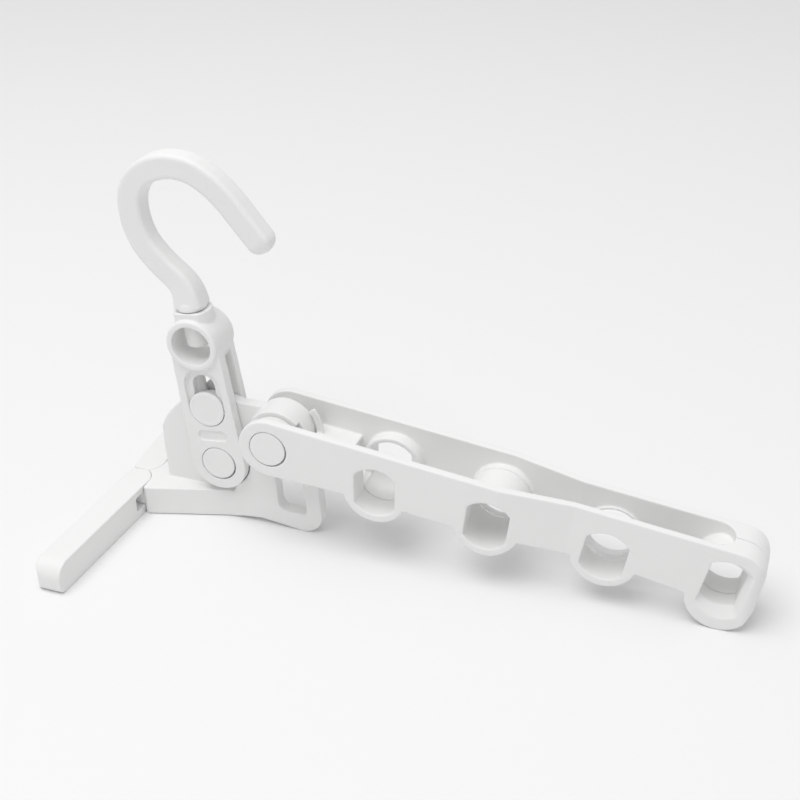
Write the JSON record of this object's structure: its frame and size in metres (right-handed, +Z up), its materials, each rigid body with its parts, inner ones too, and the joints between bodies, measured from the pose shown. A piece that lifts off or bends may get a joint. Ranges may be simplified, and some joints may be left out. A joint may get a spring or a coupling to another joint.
{
  "type": "five-hole clothes hanger",
  "caption": "Folding travel drying hanger: a swivel hook on a tilting link, a folding arm with round openings, and a bracket with two folding wings.",
  "frame": {"origin": "centre of the overall box at the level of the surface it stands on", "axes": "+X towards the arm's tip, +Y towards the rear strap, +Z up; the hook and arm lie in the plane y = 0"},
  "size_m": [0.2963, 0.1592, 0.1751],
  "materials": {
    "body_plastic": "fine satin, moulded",
    "hook_plastic": "fine satin, moulded",
    "cap_plastic": "smooth satin, moulded",
    "pin_plastic": "satin, moulded"
  },
  "bodies": {
    "bracket": {"bracket": "body_plastic", "front_wing_pin": "pin_plastic", "rear_wing_pin": "pin_plastic", "arm_washer_front": "pin_plastic", "arm_washer_rear": "pin_plastic"},
    "link": {"link_fork": "body_plastic", "link_pivot_pin": "pin_plastic", "link_pivot_cap_front": "cap_plastic", "link_pivot_cap_rear": "cap_plastic"},
    "arm": {"arm_front_half": "body_plastic", "arm_rear_half": "body_plastic", "arm_pivot_pin": "pin_plastic", "arm_pivot_cap_front": "cap_plastic", "arm_pivot_cap_rear": "cap_plastic"},
    "hook": {"hook": "hook_plastic", "hook_retainer": "pin_plastic"},
    "lock": {"lock_button_front": "cap_plastic", "lock_button_rear": "cap_plastic"},
    "front_wing": {"front_wing": "body_plastic"},
    "rear_wing": {"rear_wing": "body_plastic"}
  },
  "joints": [
    {"name": "link_tilt", "type": "hinge", "parent": "bracket", "child": "link", "pos_m": [-0.09405, 0, 0.031], "axis": [0, -1, 0], "range_deg": [0, 65]},
    {"name": "arm_fold", "type": "hinge", "parent": "bracket", "child": "arm", "pos_m": [-0.06475, 0, 0.0501], "axis": [0, -1, 0], "range_deg": [0, 80]},
    {"name": "hook_swivel", "type": "hinge", "parent": "link", "child": "hook", "pos_m": [-0.10153, 0, 0.09063], "axis": [-0.1245, 0, 0.9922], "continuous": true},
    {"name": "lock_slide", "type": "slide", "parent": "link", "child": "lock", "axis": [-0.1245, 0, 0.9922], "range_m": [0, 0.011]},
    {"name": "front_wing_fold", "type": "hinge", "parent": "bracket", "child": "front_wing", "pos_m": [-0.14075, -0.0082, 0], "axis": [0, 0, -1], "range_deg": [0, 90]},
    {"name": "rear_wing_fold", "type": "hinge", "parent": "bracket", "child": "rear_wing", "pos_m": [-0.14075, 0.0082, 0], "axis": [0, 0, 1], "range_deg": [0, 90]}
  ]
}
